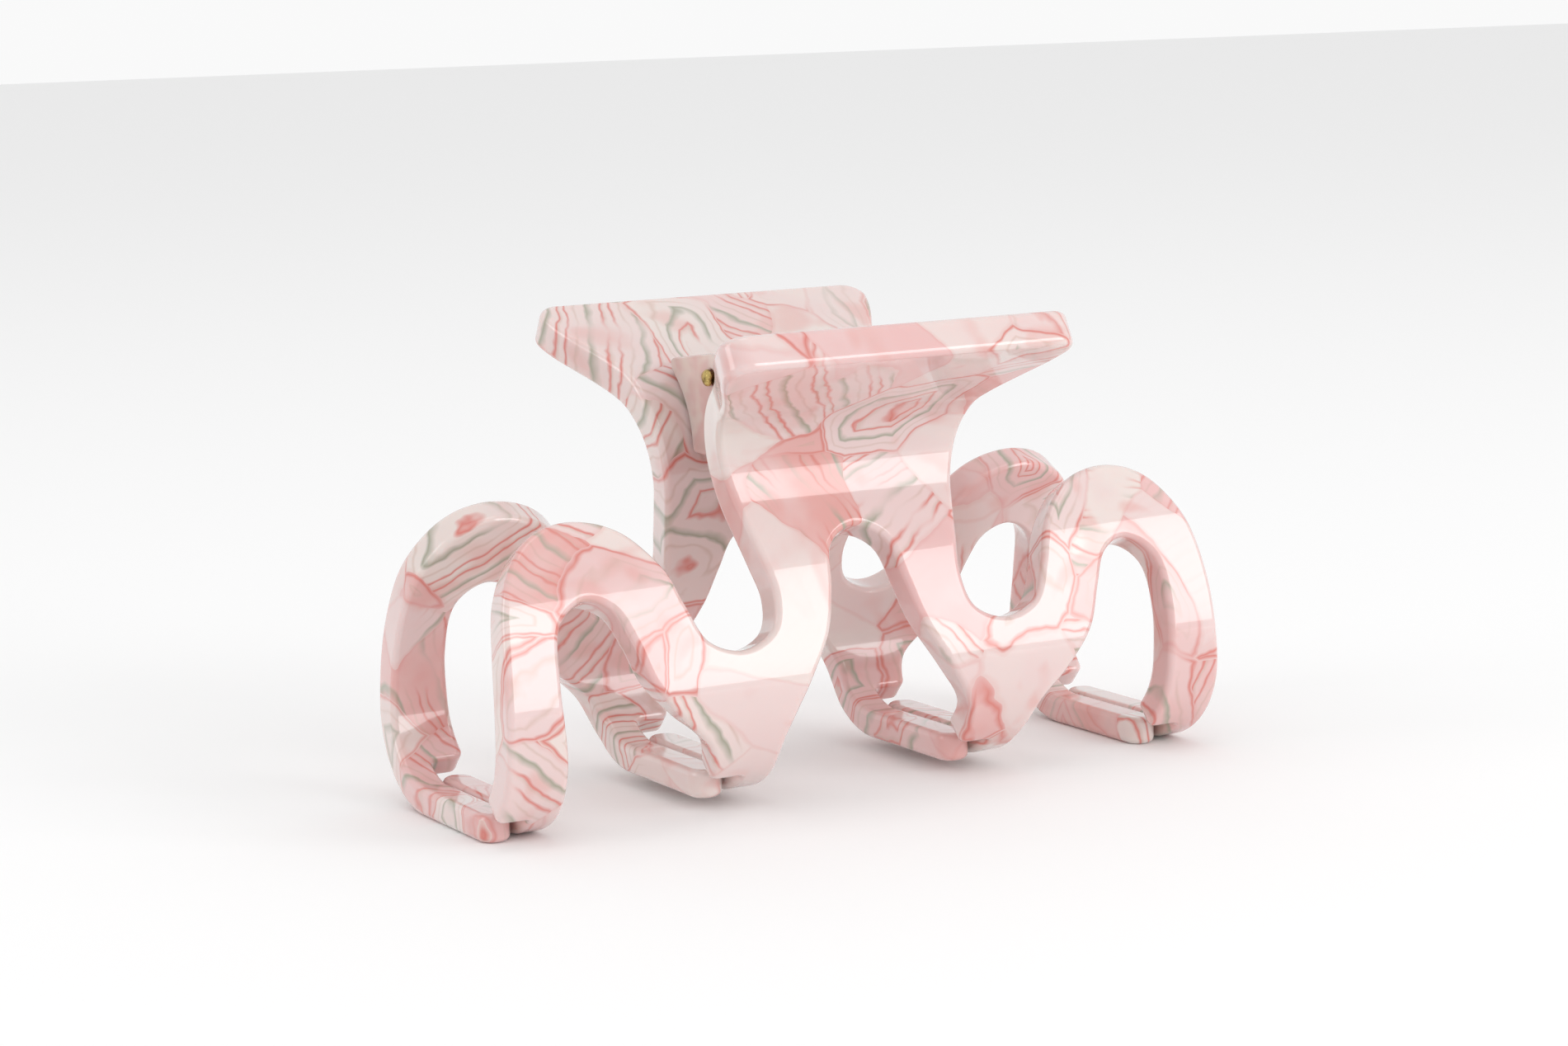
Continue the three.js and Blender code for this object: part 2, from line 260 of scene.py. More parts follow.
def plate(loops: list[Array], rim: Rim, grid: float) -> Plate:
    """Builds a plate: the rim's profile carried along each loop, and both faces filled on a square grid.

    Args:
        loops: outline walked with the material on the left, then any holes walked the other way.
        rim: the edge's profile.
        grid: spacing of the points inside the faces.

    Returns:
        The plate.
    """
    sections = rim.sections()
    rows = len(sections)
    plane, side, depth, normals, quads = [], [], [], [], []
    first = 0
    for loop in loops:
        n = len(loop)
        away = outward(loop)
        ring = loop[None] - sections[:, 0, None, None] * away[None]
        plane.append(ring.reshape(-1, 2))
        side.append(np.repeat(sections[:, 2], n))
        depth.append(np.repeat(sections[:, 1], n))
        tilt = np.concatenate([
            sections[:, 3, None, None] * away[None],
            np.broadcast_to(sections[:, 4, None, None], (rows, n, 1)),
        ], 2)
        normals.append(tilt.reshape(-1, 3))
        row, i = np.meshgrid(np.arange(rows - 1), np.arange(n), indexing="ij")
        j = (i + 1) % n
        quad = np.stack([row * n + i, (row + 1) * n + i, (row + 1) * n + j, row * n + j], -1)
        quads.append(quad.reshape(-1, 4) + first)
        first += rows * n
    starts = np.cumsum([0] + [rows * len(loop) for loop in loops[:-1]])
    edges = [loop - rim.radius * outward(loop) for loop in loops]
    low, high = edges[0].min(0), edges[0].max(0)
    a, b = np.meshgrid(*(np.arange(low[k] + grid / 2, high[k], grid) for k in range(2)), indexing="ij")
    inner = np.stack([a.ravel(), b.ravel()], 1)
    inner = inner[inside(inner, edges)]
    border = np.vstack(edges)
    nearest = np.sum((inner[:, None] - border[None]) ** 2, 2).min(1)
    inner = inner[nearest > (EDGE_CLEARANCE * grid) ** 2]
    constraints, number = [], 0
    for edge in edges:
        i = np.arange(len(edge))
        constraints += (np.stack([i, (i + 1) % len(edge)], 1) + number).tolist()
        number += len(edge)
    flat = np.vstack([border, inner])
    found, _, tris, origin, _, _ = delaunay_2d_cdt(
        [Vector(p) for p in flat], constraints, [], 0, MERGE_DISTANCE)
    tris = np.array([t for t in tris if len(t) == 3])
    source = np.array([o[0] for o in origin])
    centres = np.array([p[:] for p in found])[tris].mean(1)
    tris = source[tris[inside(centres, edges)]]
    top = np.concatenate(
        [start + np.arange(len(loop)) for start, loop in zip(starts, loops)]
        + [first + np.arange(len(inner))]
    )
    bottom = np.concatenate(
        [start + (rows - 1) * len(loop) + np.arange(len(loop)) for start, loop in zip(starts, loops)]
        + [first + len(inner) + np.arange(len(inner))]
    )
    count = len(inner)
    plane += [inner, inner]
    side += [np.ones(count), -np.ones(count)]
    depth.append(np.zeros(2 * count))
    normals += [np.tile([0.0, 0.0, 1.0], (count, 1)), np.tile([0.0, 0.0, -1.0], (count, 1))]
    return Plate(
        np.vstack(plane), np.concatenate(side), np.concatenate(depth), np.vstack(normals),
        np.vstack([top[tris], bottom[tris][:, ::-1]]), np.vstack(quads),
    )


def put_mesh(name: str, points: Array, faces: list[list[int]],
             normals: Array | None = None) -> bpy.types.Object:
    """Makes a mesh object in metres from points in millimetres, with its faces turned outwards.

    Args:
        name: the piece's name.
        points: the points in millimetres.
        faces: lists of point numbers, all wound one way.
        normals: one shading normal for each point, or None for plain smooth shading.

    Returns:
        The new object, at the origin.
    """
    fan = np.array([(f[0], f[k], f[k + 1]) for f in faces for k in range(1, len(f) - 1)])
    a, b, c = (points[fan[:, k]] for k in range(3))
    if np.einsum("ij,ij->i", a, np.cross(b, c)).sum() < 0:
        faces = [f[::-1] for f in faces]
    mesh = bpy.data.meshes.new(name)
    mesh.from_pydata((points * MM).tolist(), [], faces)
    mesh.shade_smooth()
    if normals is not None:
        mesh.normals_split_custom_set_from_vertices(normals.tolist())
    mesh.update()
    piece = bpy.data.objects.new(name, mesh)
    bpy.context.scene.collection.objects.link(piece)
    return piece


def put_attribute(piece: bpy.types.Object, name: str, values: Array) -> None:
    """Gives each point of a piece a vector that its material reads.

    Args:
        piece: the piece.
        name: the attribute's name.
        values: one vector for each point.
    """
    attribute = piece.data.attributes.new(name, "FLOAT_VECTOR", "POINT")
    attribute.data.foreach_set("vector", values.astype(np.float32).ravel())


# ---------------------------------------------------------------- node trees


class Tree:
    """Short-hand for one material's node tree."""

    def __init__(self, name: str) -> None:
        """Makes a material with a Principled shader on its output.

        Args:
            name: the material's name.
        """
        self.material = bpy.data.materials.new(name)
        self.material.use_nodes = True
        self.nodes = self.material.node_tree.nodes
        self.links = self.material.node_tree.links
        self.nodes.clear()
        self.shader = self.nodes.new("ShaderNodeBsdfPrincipled")
        output = self.nodes.new("ShaderNodeOutputMaterial")
        self.links.new(self.shader.outputs[0], output.inputs["Surface"])

    def put(self, socket: bpy.types.NodeSocket, value: object) -> None:
        """Links a socket to another, or sets its value."""
        if isinstance(value, bpy.types.NodeSocket):
            self.links.new(value, socket)
        else:
            socket.default_value = value

    def shade(self, **values: object) -> None:
        """Sets the shader's sockets; an underscore in a name stands for a space."""
        for name, value in values.items():
            self.put(self.shader.inputs[name.replace("_", " ")], value)

    def math(self, operation: str, a: object, b: object = 0.0, clamp: bool = False) -> bpy.types.NodeSocket:
        """A Math node.

        Args:
            operation: Blender's name of the operation.
            a: first value or socket.
            b: second value or socket.
            clamp: whether the result is kept within 0 and 1.

        Returns:
            The result.
        """
        node = self.nodes.new("ShaderNodeMath")
        node.operation = operation
        node.use_clamp = clamp
        self.put(node.inputs[0], a)
        self.put(node.inputs[1], b)
        return node.outputs[0]

    def vector(self, operation: str, a: object, b: object, output: str = "Vector") -> bpy.types.NodeSocket:
        """A Vector Math node.

        Args:
            operation: Blender's name of the operation.
            a: first vector or socket.
            b: second vector or socket, or the factor of SCALE.
            output: which output to return.

        Returns:
            The result.
        """
        node = self.nodes.new("ShaderNodeVectorMath")
        node.operation = operation
        self.put(node.inputs[0], a)
        self.put(node.inputs["Scale" if operation == "SCALE" else 1], b)
        return node.outputs[output]

    def rise(self, value: object, low: float, high: float) -> bpy.types.NodeSocket:
        """A smooth rise from 0 at low to 1 at high."""
        node = self.nodes.new("ShaderNodeMapRange")
        node.interpolation_type = "SMOOTHSTEP"
        self.put(node.inputs["Value"], value)
        node.inputs["From Min"].default_value = low
        node.inputs["From Max"].default_value = high
        return node.outputs["Result"]

    def mix(self, factor: object, a: object, b: object) -> bpy.types.NodeSocket:
        """A mix of two colours.

        Args:
            factor: share of the second colour.
            a: first colour or socket.
            b: second colour or socket.

        Returns:
            The mixed colour.
        """
        node = self.nodes.new("ShaderNodeMix")
        node.data_type = "RGBA"
        self.put(node.inputs["Factor"], factor)
        for socket, value in ((node.inputs[6], a), (node.inputs[7], b)):
            self.put(socket, value if isinstance(value, bpy.types.NodeSocket) else (*value, 1.0))
        return node.outputs[2]

    def ramp(self, factor: object, stops: list[tuple[float, Colour]],
             constant: bool = False) -> bpy.types.NodeSocket:
        """A colour ramp.

        Args:
            factor: where on the ramp.
            stops: places and their colours, in order.
            constant: whether each colour holds until the next stop.

        Returns:
            The colour.
        """
        node = self.nodes.new("ShaderNodeValToRGB")
        node.color_ramp.interpolation = "CONSTANT" if constant else "LINEAR"
        elements = node.color_ramp.elements
        while len(elements) < len(stops):
            elements.new(0.5)
        for element, (place, colour) in zip(elements, stops):
            element.position = place
            element.color = (*colour, 1.0)
        self.put(node.inputs[0], factor)
        return node.outputs[0]

    def noise(self, vector: object, scale: float, detail: float = 2.0,
              output: str = "Fac") -> bpy.types.NodeSocket:
        """Fractal noise over a vector.

        Args:
            vector: the vector's socket.
            scale: features per unit of the vector.
            detail: octaves.
            output: Fac or Color.

        Returns:
            The noise.
        """
        node = self.nodes.new("ShaderNodeTexNoise")
        self.put(node.inputs["Vector"], vector)
        node.inputs["Scale"].default_value = scale
        node.inputs["Detail"].default_value = detail
        return node.outputs[output]

    def cells(self, vector: object, scale: float, feature: str, output: str) -> bpy.types.NodeSocket:
        """A Voronoi texture over a vector.

        Args:
            vector: the vector's socket.
            scale: cells per unit of the vector.
            feature: F1 or DISTANCE_TO_EDGE.
            output: the output to return.

        Returns:
            The texture's output.
        """
        node = self.nodes.new("ShaderNodeTexVoronoi")
        node.feature = feature
        self.put(node.inputs["Vector"], vector)
        node.inputs["Scale"].default_value = scale
        return node.outputs[output]

    def parts(self, vector: bpy.types.NodeSocket) -> tuple[bpy.types.NodeSocket, ...]:
        """The three parts of a vector or colour."""
        node = self.nodes.new("ShaderNodeSeparateXYZ")
        self.put(node.inputs[0], vector)
        return tuple(node.outputs)

    def bump(self, height: bpy.types.NodeSocket, distance: float, strength: float = 1.0) -> None:
        """Puts a bump on the shader's normal.

        Args:
            height: the height, 0 to 1.
            distance: how deep that is, in metres.
            strength: share of the effect.
        """
        node = self.nodes.new("ShaderNodeBump")
        node.inputs["Strength"].default_value = strength
        node.inputs["Distance"].default_value = distance
        self.put(node.inputs["Height"], height)
        self.put(self.shader.inputs["Normal"], node.outputs[0])

    def attribute(self, name: str) -> bpy.types.NodeSocket:
        """A vector that the piece's points carry."""
        node = self.nodes.new("ShaderNodeAttribute")
        node.attribute_name = name
        return node.outputs["Vector"]

    def place(self) -> bpy.types.NodeSocket:
        """The point's own place on the piece, in millimetres."""
        node = self.nodes.new("ShaderNodeTexCoord")
        return self.vector("SCALE", node.outputs["Object"], 1 / MM)


# ---------------------------------------------------------------- finishes


@dataclass(frozen=True)
class MarbledAcetate:
    """Block acetate: warped patches of milky white, pale pink and coral, crossed by sets of fine lines that
    run one way inside each patch or follow its border."""

    patch: float = 12.0
    sway: float = 8.0
    ripple: float = 0.7
    spacing: float = 1.15
    milk: Colour = linear(223, 211, 205)
    blush: Colour = linear(222, 196, 194)
    pink: Colour = linear(221, 181, 179)
    coral: Colour = linear(216, 156, 149)
    line_coral: Colour = linear(206, 118, 108)
    line_sage: Colour = linear(158, 156, 138)
    line_sand: Colour = linear(192, 160, 144)

    def lines(self, tree: Tree, across: bpy.types.NodeSocket, base: bpy.types.NodeSocket,
              strength: bpy.types.NodeSocket) -> bpy.types.NodeSocket:
        """Draws sets of lines over a colour.

        Args:
            tree: the node tree.
            across: distance across the lines, in line spacings.
            base: the colour under them.
            strength: how strong they are here, 0 to 1.

        Returns:
            The colour with its lines.
        """
        turn = tree.math("FRACT", tree.math("MULTIPLY", across, 0.25))
        clear, faint, full = (0.0,) * 3, (0.45,) * 3, (1.0,) * 3
        cover = tree.ramp(turn, [
            (0.00, clear), (0.05, full), (0.11, clear), (0.24, clear), (0.29, faint), (0.34, clear),
            (0.47, clear), (0.53, full), (0.60, faint), (0.66, clear), (0.78, clear), (0.83, full),
            (0.87, faint), (0.93, clear),
        ])
        hue = tree.ramp(turn, [
            (0.0, self.line_coral), (0.2, self.line_sand), (0.42, self.line_sage), (0.70, self.line_coral),
            (0.86, self.line_sand),
        ], constant=True)
        return tree.mix(tree.math("MULTIPLY", cover, strength), base, hue)

    def build(self) -> bpy.types.Material:
        """Makes the material; it reads the flat place before bending, which each point carries."""
        tree = Tree("marbled_acetate")
        flat = tree.attribute("flat_place")
        centre = (0.5, 0.5, 0.5)
        sway = tree.vector("SUBTRACT", tree.noise(flat, 0.055, 1.0, "Color"), centre)
        ripple = tree.vector("SUBTRACT", tree.noise(flat, 0.26, 2.0, "Color"), centre)
        warped = tree.vector("ADD", flat, tree.vector("SCALE", sway, 2 * self.sway))
        warped = tree.vector("ADD", warped, tree.vector("SCALE", ripple, 2 * self.ripple))
        scale = 1 / self.patch
        chance = tree.cells(warped, scale, "F1", "Color")
        border = tree.math("MULTIPLY", tree.cells(warped, scale, "DISTANCE_TO_EDGE", "Distance"), self.patch)
        tone, lined, kind = tree.parts(chance)
        patch = tree.ramp(tone, [
            (0.0, self.milk), (0.35, self.blush), (0.6, self.milk), (0.72, self.pink), (0.88, self.coral),
            (1.0, self.pink),
        ])
        cloud = tree.rise(tree.noise(warped, 0.11, 2.0), 0.42, 0.68)
        patch = tree.mix(tree.math("MULTIPLY", cloud, 0.55), patch, self.blush)
        glow = tree.rise(tree.noise(warped, 0.2, 1.0), 0.55, 0.75)
        patch = tree.mix(tree.math("MULTIPLY", glow, 0.5), patch, self.coral)
        heading = tree.vector("MULTIPLY", tree.vector("SUBTRACT", chance, centre), (1.0, 1.0, 0.3))
        heading = tree.vector("NORMALIZE", heading, (0.0, 0.0, 0.0))
        swayed = tree.vector("ADD", flat, tree.vector("SCALE", sway, 0.7 * self.sway))
        swayed = tree.vector("ADD", swayed, tree.vector("SCALE", ripple, 2.4 * self.ripple))
        straight = tree.math("DIVIDE", tree.vector("DOT_PRODUCT", swayed, heading, "Value"), self.spacing)
        nested = tree.math("DIVIDE", border, self.spacing)
        follows = tree.math("GREATER_THAN", kind, 0.45)
        across = tree.math("ADD", tree.math("MULTIPLY", nested, follows),
                           tree.math("MULTIPLY", straight, tree.math("SUBTRACT", 1.0, follows)))
        group = tree.rise(tree.noise(flat, 0.08, 1.0), 0.36, 0.5)
        strength = tree.math("MULTIPLY", group, tree.rise(lined, 0.1, 0.3))
        colour = self.lines(tree, across, patch, strength)
        seam = tree.math("SUBTRACT", 1.0, tree.rise(border, 0.05, 0.4))
        colour = tree.mix(tree.math("MULTIPLY", seam, 0.16), colour, self.line_coral)
        tree.shade(
            Base_Color=colour, Roughness=0.2, IOR=1.48, Subsurface_Weight=0.3,
            Subsurface_Radius=(1.0, 0.55, 0.5), Subsurface_Scale=2.5 * MM,
            Coat_Weight=1.0, Coat_Roughness=0.03,
        )
        tree.bump(tree.noise(flat, 0.16, 1.0), 0.12 * MM, 0.5)
        return tree.material


@dataclass(frozen=True)
class ClearAcetate:
    """Plain translucent acetate with a faint cloud in it."""

    body: Colour = linear(240, 220, 212)
    cloud: Colour = linear(233, 196, 190)

    def build(self) -> bpy.types.Material:
        """Makes the material."""
        tree = Tree("clear_acetate")
        place = tree.place()
        drift = tree.rise(tree.noise(place, 0.25, 2.0), 0.4, 0.65)
        tree.shade(
            Base_Color=tree.mix(drift, self.body, self.cloud), Roughness=0.12, IOR=1.48,
            Transmission_Weight=0.35, Subsurface_Weight=0.3, Subsurface_Radius=(1.0, 0.7, 0.6),
            Subsurface_Scale=3 * MM, Coat_Weight=0.6, Coat_Roughness=0.04,
        )
        tree.bump(tree.noise(place, 0.8, 1.0), 0.05 * MM, 0.4)
        return tree.material


@dataclass(frozen=True)
class Brass:
    """Peened brass, brown where it has tarnished."""

    bright: Colour = linear(203, 178, 112)
    tarnish: Colour = linear(120, 98, 56)

    def build(self) -> bpy.types.Material:
        """Makes the material."""
        tree = Tree("peened_brass")
        place = tree.place()
        spots = tree.rise(tree.noise(place, 1.6, 4.0), 0.45, 0.7)
        tree.shade(
            Base_Color=tree.mix(spots, self.bright, self.tarnish), Metallic=1.0,
            Roughness=tree.math("ADD", 0.24, tree.math("MULTIPLY", spots, 0.25)),
        )
        tree.bump(tree.noise(place, 2.6, 2.0), 0.12 * MM, 0.7)
        return tree.material


@dataclass(frozen=True)
class SpringWire:
    """Drawn spring steel: fine scratches along the wire."""

    steel: Colour = linear(196, 196, 200)
    shade_tone: Colour = linear(140, 140, 146)

    def build(self) -> bpy.types.Material:
        """Makes the material; it reads the place round and along the wire."""
        tree = Tree("spring_wire")
        along = tree.attribute("wire_place")
        streaks = tree.noise(along, 1.0, 3.0)
        tree.shade(
            Base_Color=tree.mix(tree.rise(streaks, 0.35, 0.7), self.steel, self.shade_tone), Metallic=1.0,
            Roughness=tree.math("ADD", 0.2, tree.math("MULTIPLY", streaks, 0.2)),
        )
        tree.bump(streaks, 0.02 * MM, 0.5)
        return tree.material


# ---------------------------------------------------------------- the bent sheet


class Turn(Enum):
    """Whether a piece stands as drawn, or turned half a turn about the upright axis."""

    AS_DRAWN = 1
    HALF_TURN = -1

    def apply(self, points: Array) -> Array:
        """The points after the turn: x and y change sign together."""
        return points * [self.value, self.value, 1]


@dataclass(frozen=True)
class SheetForm:
    """How a jaw's sheet is bent and thinned: a chain of constant curvatures, in millimetres and degrees.

    A slope is the angle from straight down, positive where the sheet runs outwards.
    """

    sheet: float = 3.8
    finger: float = 3.0
    thin_from: float = 45.0
    thin_to: float = 58.0
    lean: float = 62.0
    tab: float = 13.2
    neck_radius: float = 7.9
    flare: float = 27.8
    shoulder_radius: float = 10.7
    flare_length: float = 5.5
    belly_radius: float = 32.2
    curl_radius: float = 8.54
    finger_length: float = 15.55
    curl_y: float = -5.7
    lift_height: float = 1.3
    lift_edge: tuple[float, float] = (23.0, 31.0)
    lift_range: tuple[float, float] = (38.0, 52.0)

    def chain(self) -> tuple[Array, ...]:
        """Where each bend starts: its distance down the sheet, its place outwards and downwards, its slope
        in radians and its curvature."""
        slopes = [(-self.lean, -self.lean), (-self.lean, 0), (0, self.flare), (self.flare, self.flare),
                  (self.flare, 0), (0, -90), (-90, -90)]
        radii = [0, self.neck_radius, self.shoulder_radius, 0, self.belly_radius, self.curl_radius, 0]
        straights = [self.tab, 0, 0, self.flare_length, 0, 0, self.finger_length]
        rows, at, out, down = [], 0.0, 0.0, 0.0
        for (enter, leave), radius, straight in zip(slopes, radii, straights):
            a, b = math.radians(enter), math.radians(leave)
            length = straight or radius * abs(b - a)
            bend = (b - a) / length
            rows.append((at, out, down, a, bend))
            if bend:
                out += (math.cos(a) - math.cos(b)) / bend
                down += (math.sin(b) - math.sin(a)) / bend
            else:
                out += length * math.sin(a)
                down += length * math.cos(a)
            at += length
        return tuple(np.array(column) for column in zip(*rows))

    @property
    def curl_start(self) -> float:
        """Distance down the sheet where the curl starts."""
        return float(self.chain()[0][5])

    @property
    def length(self) -> float:
        """Length of the sheet down its middle."""
        return float(self.chain()[0][6]) + self.finger_length

    def thickness(self, s: Array) -> Array:
        """The sheet's thickness at distances down it."""
        return self.sheet + (self.finger - self.sheet) * smoothstep(s, self.thin_from, self.thin_to)

    def place(self, flat: Array) -> Array:
        """Bends flat points into the front jaw. With a the slope at s, the middle of the sheet is the
        integral of (sin a outwards, cos a downwards), and w stands off it along (cos a, -sin a).

        Args:
            flat: rows of u along the clip, s down the sheet and w outwards from its middle.

        Returns:
            The bent points.
        """
        at, out0, down0, slope0, bend0 = self.chain()
        u, s, w = flat.T
        k = np.clip(np.searchsorted(at, s, side="right") - 1, 0, len(at) - 1)
        d, a0, bend = s - at[k], slope0[k], bend0[k]
        a = a0 + bend * d
        safe = np.where(bend == 0, 1.0, bend)
        out = out0[k] + np.where(bend == 0, d * np.sin(a0), (np.cos(a0) - np.cos(a)) / safe)
        down = down0[k] + np.where(bend == 0, d * np.cos(a0), (np.sin(a) - np.sin(a0)) / safe)
        curl_out = out0[5] - self.curl_radius
        top = self.finger / 2 + self.curl_radius + down0[5]
        inwards = 1 - smoothstep(np.abs(u), *self.lift_edge)
        lift = self.lift_height * inwards * smoothstep(s, *self.lift_range)
        y = self.curl_y + curl_out - out - w * np.cos(a)
        z = top - down + w * np.sin(a) + lift
        return np.stack([u, y, z], 1)

    def normals(self, flat: Array, across: Array) -> Array:
        """Normals of a bent surface: flat normals times the inverse transpose of the bend's derivative,
        which is taken by small steps either way.

        Args:
            flat: the flat points.
            across: their flat normals.

        Returns:
            Unit normals on the bent piece.
        """
        step = 1e-4
        columns = [
            (self.place(flat + step * axis) - self.place(flat - step * axis)) / (2 * step)
            for axis in np.eye(3)
        ]
        jacobian = np.stack(columns, 2)
        normal = np.linalg.solve(jacobian.transpose(0, 2, 1), across[..., None])[..., 0]
        return normal / np.linalg.norm(normal, axis=1, keepdims=True)


@dataclass(frozen=True)
class JawPattern:
    """The flat outline that both jaws are cut to, in millimetres: u along the clip, s down the sheet."""

    form: SheetForm
    leg_outer: float
    leg_inner: float = 35.2
    tooth_outer: float = 18.7
    tooth_inner: float = 11.0
    finger_gap: float = 0.3
    tab_half: float = 20.1
    tab_corner: float = 2.5
    cut_angle: float = 50.0
    cut_corner: float = 1.1
    cut_root: float = 0.5
    step: float = 0.32

    @property
    def cut(self) -> float:
        """Distance down the sheet where the cut half of each leg ends."""
        return self.form.curl_start + self.form.curl_radius * math.radians(self.cut_angle)

    def side_points(self) -> Array:
        """Waypoints from the tab's corner over the outer arch towards the foot of the outer leg."""
        return np.array([
            (19.2, 5.4), (16.2, 11.9), (14.7, 18.2), (12.9, 26.2), (11.7, 32.2), (11.1, 36.2), (12.1, 39.6),
            (15.6, 41.2), (19.3, 39.8), (21.2, 36.0), (22.8, 32.0), (26.6, 27.8), (32.0, 26.2), (37.0, 28.0),
            (40.4, 32.8), (41.7, 39.2), (42.2, 47.2),
        ])

    def slot_points(self) -> Array:
        """Waypoints from the outer leg over the slot to the inner tooth."""
        return np.array([
            (35.7, 48.2), (36.0, 42.2), (35.3, 37.0), (32.3, 34.6), (29.3, 35.8), (27.6, 39.2), (26.0, 43.6),
            (23.0, 47.8), (19.8, 51.2),
        ])

    def arch_points(self) -> Array:
        """Waypoints from one inner tooth over the middle arch to the other."""
        half = np.array([(10.9, 51.0), (8.2, 45.6), (5.6, 40.6), (4.3, 36.2), (3.2, 31.8), (0.0, 30.0)])
        return np.vstack([half, half[-2::-1] * [-1, 1]])

    def edge(self, start: float | None, points: Array, end: float | None) -> Array:
        """A smooth edge from a foot's rounded corner through waypoints to the next foot's finger.

        Args:
            start: u of the foot that it leaves, or None on the tab.
            points: the waypoints.
            end: u of the foot that it reaches, or None on the tab.

        Returns:
            The edge's points.
        """
        first = (self.tab_half, self.tab_corner) if start is None else (start, self.cut - self.cut_corner)
        last = (-self.tab_half, self.tab_corner) if end is None else (end, self.cut)
        return spline(np.vstack([[first], points, [last]]))

    def foot(self, near: float, far: float) -> Array:
        """The foot of a leg, walked from its +u side: a finger with a round tip on that half, then the
        other half's square end with a rounded corner.

        Args:
            near: the leg's lower u.
            far: the leg's higher u.

        Returns:
            The foot's outline.
        """
        split = (near + far) / 2 + self.finger_gap / 2
        radius = (far - split) / 2
        tip = arc((far - radius, self.form.length - radius), radius, 0, 180, 24)
        root = arc((split - self.cut_root, self.cut + self.cut_root), self.cut_root, 0, -90, 6)
        corner = arc((near + self.cut_corner, self.cut - self.cut_corner), self.cut_corner, 90, 180, 10)
        return np.vstack([tip, root, corner])

    def outline(self) -> Array:
        """The whole outline, walked with the sheet on its left: right half, arch, then the left half."""
        side, slot = self.side_points(), self.slot_points()
        left_side, left_slot = (points[::-1] * [-1, 1] for points in (side, slot))
        corner = arc((self.tab_half - self.tab_corner, self.tab_corner), self.tab_corner, -90, 0)
        return resampled(np.vstack([
            corner,
            self.edge(None, side, self.leg_outer),
            self.foot(self.leg_inner, self.leg_outer),
            self.edge(self.leg_inner, slot, self.tooth_outer),
            self.foot(self.tooth_inner, self.tooth_outer),
            self.edge(self.tooth_inner, self.arch_points(), -self.tooth_inner),
            self.foot(-self.tooth_outer, -self.tooth_inner),
            self.edge(-self.tooth_outer, left_slot, -self.leg_inner),
            self.foot(-self.leg_outer, -self.leg_inner),
            self.edge(-self.leg_outer, left_side, None),
            corner[::-1] * [-1, 1],
        ]), self.step)


@dataclass
class Jaw:
    """One jaw: the flat pattern with polished edges, bent."""

    name: str
    body: str
    node: str
    turn: Turn
    pattern: JawPattern
    material: bpy.types.Material
    cut_from: tuple[float, float, float]
    rim: Rim = Rim(0.7, 5)
    grid: float = 0.85

    def build(self) -> bpy.types.Object:
        """Builds the jaw and sets it on its body.

        Returns:
            The piece.
        """
        form = self.pattern.form
        blank = plate([self.pattern.outline()], self.rim, self.grid)
        w = blank.side * (form.thickness(blank.plane[:, 1]) / 2 - blank.depth)
        flat = np.column_stack([blank.plane, w])
        points = self.turn.apply(form.place(flat))
        normals = self.turn.apply(form.normals(flat, blank.normals))
        piece = put_mesh(self.name, points, blank.faces(), normals)
        put_attribute(piece, "flat_place", flat + self.cut_from)
        piece.data.materials.append(self.material)
        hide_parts(self.node)
        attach(piece, self.body)
        LOG.info("%s: %d points", self.name, len(points))
        return piece


# ---------------------------------------------------------------- hinge


@dataclass
class Ear:
    """A hinge ear: a small plate glued to a jaw's inner face, with a round nose about the pin."""

    name: str
    body: str
    node: str
    turn: Turn
    form: SheetForm
    pin_height: float
    material: bpy.types.Material
    gap: float = 0.3
    top: float = 44.4
    bottom: float = 34.8
    nose: float = 2.5
    bore: float = 0.83
    blunt: float = 1.0
    rim: Rim = Rim(0.22, 3)
    step: float = 0.2
    passes: int = 12
    grid: float = 0.6

    def outline(self) -> Array:
        """The ear in the Y-Z plane of the front jaw, its back following the jaw's inner face."""
        s = np.arange(0, self.form.length, 0.25)
        back = self.form.place(np.column_stack([0 * s, s, 0 * s - self.form.sheet / 2 - self.gap]))[:, 1:]
        height = back[:, 1]
        back = back[(height < self.top - self.blunt) & (height > self.bottom) & (s < self.form.curl_start)]
        front = np.array([(0.0, self.bottom), (self.nose * 0.75, self.pin_height - 1.3 * self.nose)])
        nose = arc((0.0, self.pin_height), self.nose, 0, 90, 14)
        whole = np.vstack([
            [(back[0, 0], self.top)], back, [(back[-1, 0], self.bottom)],
            spline(np.vstack([front, nose[:1]])), nose,
        ])
        return softened(resampled(whole, self.step), self.passes)

    def build(self) -> bpy.types.Object:
        """Builds the ear between the CAD node's two X faces.

        Returns:
            The piece.
        """
        low, high = (corner.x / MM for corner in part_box(self.node))
        if self.turn is Turn.HALF_TURN:
            low, high = -high, -low
        hole = resampled(arc((0.0, self.pin_height), self.bore, 360, 0, 40)[:-1], self.step)
        blank = plate([self.outline(), hole], self.rim, self.grid)
        x = (low + high) / 2 + blank.side * ((high - low) / 2 - blank.depth)
        points = self.turn.apply(np.column_stack([x, blank.plane]))
        normals = self.turn.apply(blank.normals[:, [2, 0, 1]])
        piece = put_mesh(self.name, points, blank.faces(), normals)
        piece.data.materials.append(self.material)
        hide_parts(self.node)
        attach(piece, self.body)
        LOG.info("%s: %d points", self.name, len(points))
        return piece


